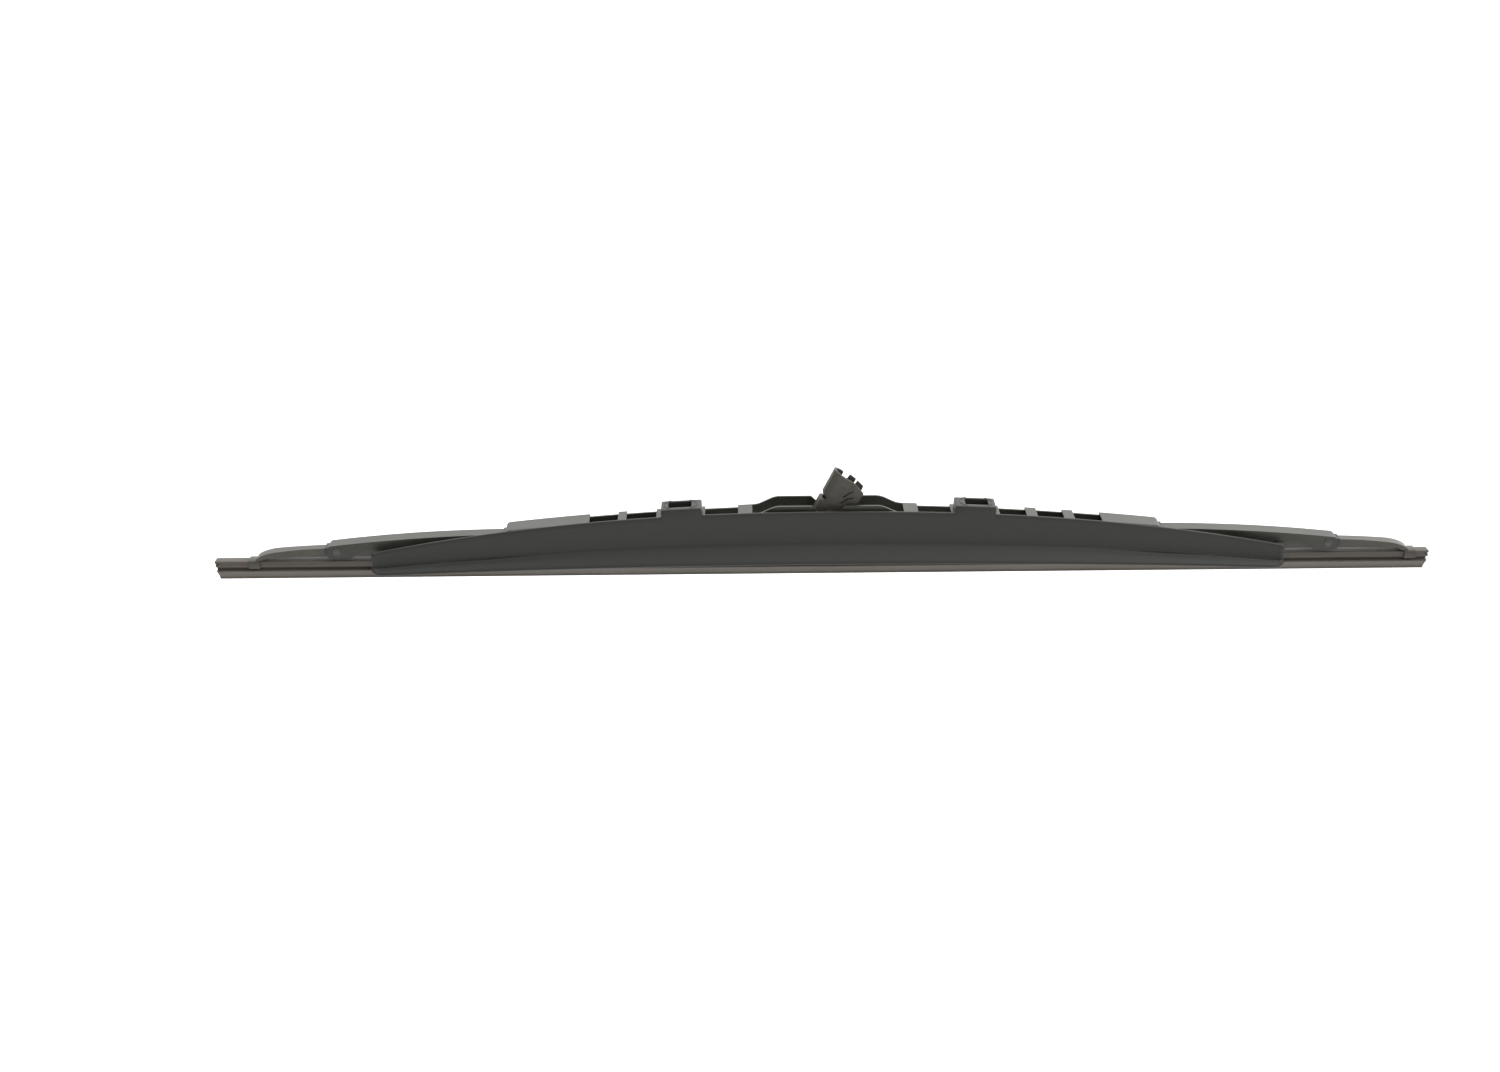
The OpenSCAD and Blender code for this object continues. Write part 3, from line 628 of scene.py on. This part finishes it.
def make_spoiler_shell():
    """The long curved shell with its rolled bead at both ends."""
    ends = []
    for d in (0, 0.06, 0.2, 0.42, 0.7, 1.0, 1.6, 2.3, 2.7, 3.1, 3.6, 4.4, 5.4, 6.6):
        round_off = math.sqrt(1 - (1 - min(d / RIM_ROUND, 1)) ** 2)
        bead = BEAD * (1 - smooth((d - BEAD_LENGTH) / RIM_ROUND))
        wall = RIM_WALL + (WALL - RIM_WALL) * round_off
        ends.append((d, wall, RIM_PULL * (1 - round_off), bead * round_off))
    rings = [spoiler_ring(-SPOILER_HALF + d, w, p, b) for d, w, p, b in ends]
    rings += [
        spoiler_ring(x, WALL, 0, 0) for x in steps(-SPOILER_HALF + 8, SPOILER_HALF - 8, 180)]
    rings += [spoiler_ring(SPOILER_HALF - d, w, p, b) for d, w, p, b in reversed(ends)]
    obj = add_object(
        "spoiler_shell", finish_mesh(loft(rings), "spoiler_shell", 48),
        spoiler_plastic, BODY_OF["spoiler"])
    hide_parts("spoiler")
    return obj


def rounded_rect(cx, cy, half_x, half_y, r, n=4):
    """Points round a rectangle with rounded corners."""
    out = []
    for sx, sy, start in ((1, 1, 0), (-1, 1, 90), (-1, -1, 180), (1, -1, 270)):
        for k in range(n + 1):
            angle = math.radians(start + 90 * k / n)
            out.append((
                cx + sx * (half_x - r) + r * math.cos(angle),
                cy + sy * (half_y - r) + r * math.sin(angle)))
    return out


# The bridge that a clip sits on, on the primary lever's arch
BRIDGE_X = 72.05
ARCH_H, ARCH_RADIUS = 35.4, 1470.0
# The clip: its housing, its window, the legs through the bridge's slot, and its ribs
CLIP_LENGTH, CLIP_TOP, CLIP_BACK = 19.8, 5.5, 2.3
CLIP_SHIFT = -0.7
CLIP_PLAY = 0.08
CLIP_PROUD = 0.03
WINDOW = (11.2, 6.7)
WINDOW_SETBACK = 3
WINDOW_FLOOR = 1.2
LEG_OUTER = 12.4 / 2 - 0.2
LEG_THICK, LEG_DEPTH, LEG_HALF_Y = 1.4, 3, 2.2
BARB = 0.7
RIB_R, RIB_WIDTH, RIB_TURN = 7.0, 0.35, 58


def clip_place(side):
    """Puts a point drawn about a bridge's middle, in millimetres, into the frame."""
    bridge = BRIDGE_X * side
    ground = ARCH_H - bridge * bridge / (2 * ARCH_RADIUS) + CLIP_PLAY
    tilt = math.asin(bridge / ARCH_RADIUS)

    def place(x, y, z):
        return (
            (bridge + x * math.cos(tilt) + z * math.sin(tilt)) * MM, y * MM,
            LIP_Z + (ground - x * math.sin(tilt) + z * math.cos(tilt)) * MM)

    return place


def add_clip_piece(name, rings, sharp_deg):
    obj = add_object(
        name, finish_mesh(loft(rings), name, sharp_deg), spoiler_plastic,
        BODY_OF["spoiler"])
    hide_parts("spoiler")


def make_clip_tower(side):
    """A clip's housing over the lever's bridge, with its window and two curved ribs."""
    place = clip_place(side)
    name = "clip_tower_" + ("left" if side < 0 else "right")
    shift = CLIP_SHIFT * side
    front = FACE_Y - CLIP_PROUD
    cy, half_y = (front + CLIP_BACK) / 2, (CLIP_BACK - front) / 2
    half_x = CLIP_LENGTH / 2
    wx, wy = WINDOW[0] / 2, WINDOW[1] / 2
    window_y = FACE_Y + WINDOW_SETBACK + wy

    # up the outside, over the rounded rim and down into the window
    rings = []
    for inset, z in (
            (0, 0), (0, CLIP_TOP - 0.7), (0.1, CLIP_TOP - 0.4),
            (0.3, CLIP_TOP - 0.12), (0.6, CLIP_TOP)):
        rings.append([
            place(x, y, z) for x, y in rounded_rect(
                shift, cy, half_x - inset, half_y - inset, 0.6)])
    for inset, z in (
            (-0.25, CLIP_TOP), (-0.08, CLIP_TOP - 0.08), (0, CLIP_TOP - 0.3),
            (0.1, WINDOW_FLOOR)):
        rings.append([
            place(x, y, z) for x, y in rounded_rect(
                0, window_y, wx - inset, wy - inset, 0.5)])
    add_clip_piece(name, rings, 40)

    # legs that go down through the slot and hook under the bridge
    outline = [
        (LEG_OUTER - LEG_THICK, 1.3), (LEG_OUTER, 1.3), (LEG_OUTER, -1.3),
        (LEG_OUTER + BARB, -1.5), (LEG_OUTER, -LEG_DEPTH),
        (LEG_OUTER - LEG_THICK, -LEG_DEPTH)]
    for leg, letter in ((-1, "a"), (1, "b")):
        rings = [
            [place(leg * x, y, z) for x, z in outline]
            for y in (-LEG_HALF_Y, LEG_HALF_Y)]
        add_clip_piece(f"{name}_leg_{letter}", rings, 38)

    # curved ribs either side of the window, as (radius, height)
    section = [
        (RIB_R, CLIP_TOP - 0.1), (RIB_R, CLIP_TOP + 0.18),
        (RIB_R + RIB_WIDTH, CLIP_TOP + 0.18), (RIB_R + RIB_WIDTH, CLIP_TOP - 0.1)]
    for end, letter in ((-1, "a"), (1, "b")):
        rings = []
        for k in range(17):
            angle = math.radians(mix(-RIB_TURN, RIB_TURN, k / 16))
            across, along = math.cos(angle), math.sin(angle)
            rings.append([
                place(end * (r * across + 0.9) + shift * 0.4,
                      window_y + r * along * 0.82, z)
                for r, z in section])
        add_clip_piece(f"{name}_rib_{letter}", rings, 30)


make_spoiler_shell()
for side in (-1, 1):
    make_clip_tower(side)


# ----------------------------------------------------------- floor, light and camera

FLOOR_DROP = 0.16


def make_stage():
    """A pale floor some way below the blade, and a sky that grows brighter to one side."""
    bm = bmesh.new()
    bmesh.ops.create_grid(bm, x_segments=1, y_segments=1, size=6)
    mesh = bpy.data.meshes.new("floor")
    bm.to_mesh(mesh)
    bm.free()
    mat, _, _, _ = node_material("pale_floor", (0.92, 0.92, 0.92), 0.6)
    floor = add_object("floor", mesh, mat)
    floor.location = (0, 0, LIP_Z - FLOOR_DROP)

    world = bpy.data.worlds.new("studio")
    bpy.context.scene.world = world
    world.use_nodes = True
    tree = world.node_tree
    back = tree.nodes["Background"]
    # dim in front and below, and bright above, behind and to the right
    around = tree.nodes.new("ShaderNodeTexCoord").outputs["Generated"]
    shade = tree.nodes.new("ShaderNodeMapRange")
    shade.interpolation_type = "SMOOTHSTEP"
    shade.inputs["From Min"].default_value = -0.55
    shade.inputs["From Max"].default_value = 1.4
    shade.inputs["To Min"].default_value = 0.4
    shade.inputs["To Max"].default_value = 2.3
    slope = tree.nodes.new("ShaderNodeVectorMath")
    slope.operation = "DOT_PRODUCT"
    slope.inputs[1].default_value = (1.0, 1.0, 1.0)
    tree.links.new(around, slope.inputs[0])
    tree.links.new(slope.outputs["Value"], shade.inputs["Value"])
    seen = tree.nodes.new("ShaderNodeMix")
    path = tree.nodes.new("ShaderNodeLightPath")
    tree.links.new(path.outputs["Is Camera Ray"], seen.inputs[0])
    tree.links.new(shade.outputs["Result"], seen.inputs[2])
    seen.inputs[3].default_value = 1.0
    tree.links.new(seen.outputs[0], back.inputs["Strength"])
    back.inputs["Color"].default_value = (1, 1, 1, 1)


def soft_box(name, place, target, width, depth, power):
    """A rectangular area light at place that faces target."""
    light = bpy.data.lights.new(name, "AREA")
    light.shape = "RECTANGLE"
    light.size, light.size_y = width, depth
    light.energy = power
    obj = bpy.data.objects.new(name, light)
    bpy.context.scene.collection.objects.link(obj)
    obj.location = place
    way = Vector(target) - Vector(place)
    obj.rotation_euler = way.to_track_quat("-Z", "Y").to_euler()
    return obj


def make_camera():
    """A normal lens, nearly square on to the blade, 24.5 degrees above it, a little rolled."""
    azimuth, elevation, roll = math.radians(-0.25), math.radians(24.5), math.radians(-0.43)
    distance = 0.95
    target = Vector((-0.03823, 0, -0.01027))
    back = Vector((
        math.sin(azimuth) * math.cos(elevation),
        -math.cos(azimuth) * math.cos(elevation),
        math.sin(elevation)))
    data = bpy.data.cameras.new("camera")
    data.lens = 46.27
    data.sensor_width = 36
    cam = bpy.data.objects.new("camera", data)
    bpy.context.scene.collection.objects.link(cam)
    cam.location = target + back * distance
    turn = (-back).to_track_quat("-Z", "Y").to_matrix() @ Matrix.Rotation(roll, 3, "Z")
    cam.rotation_euler = turn.to_euler()
    bpy.context.scene.camera = cam
    bpy.context.scene.view_settings.view_transform = "Standard"


make_stage()
soft_box("overhead", (0.1, 0.3, 1.2), (0, 0, 0), 1.6, 1.0, 6)
make_camera()
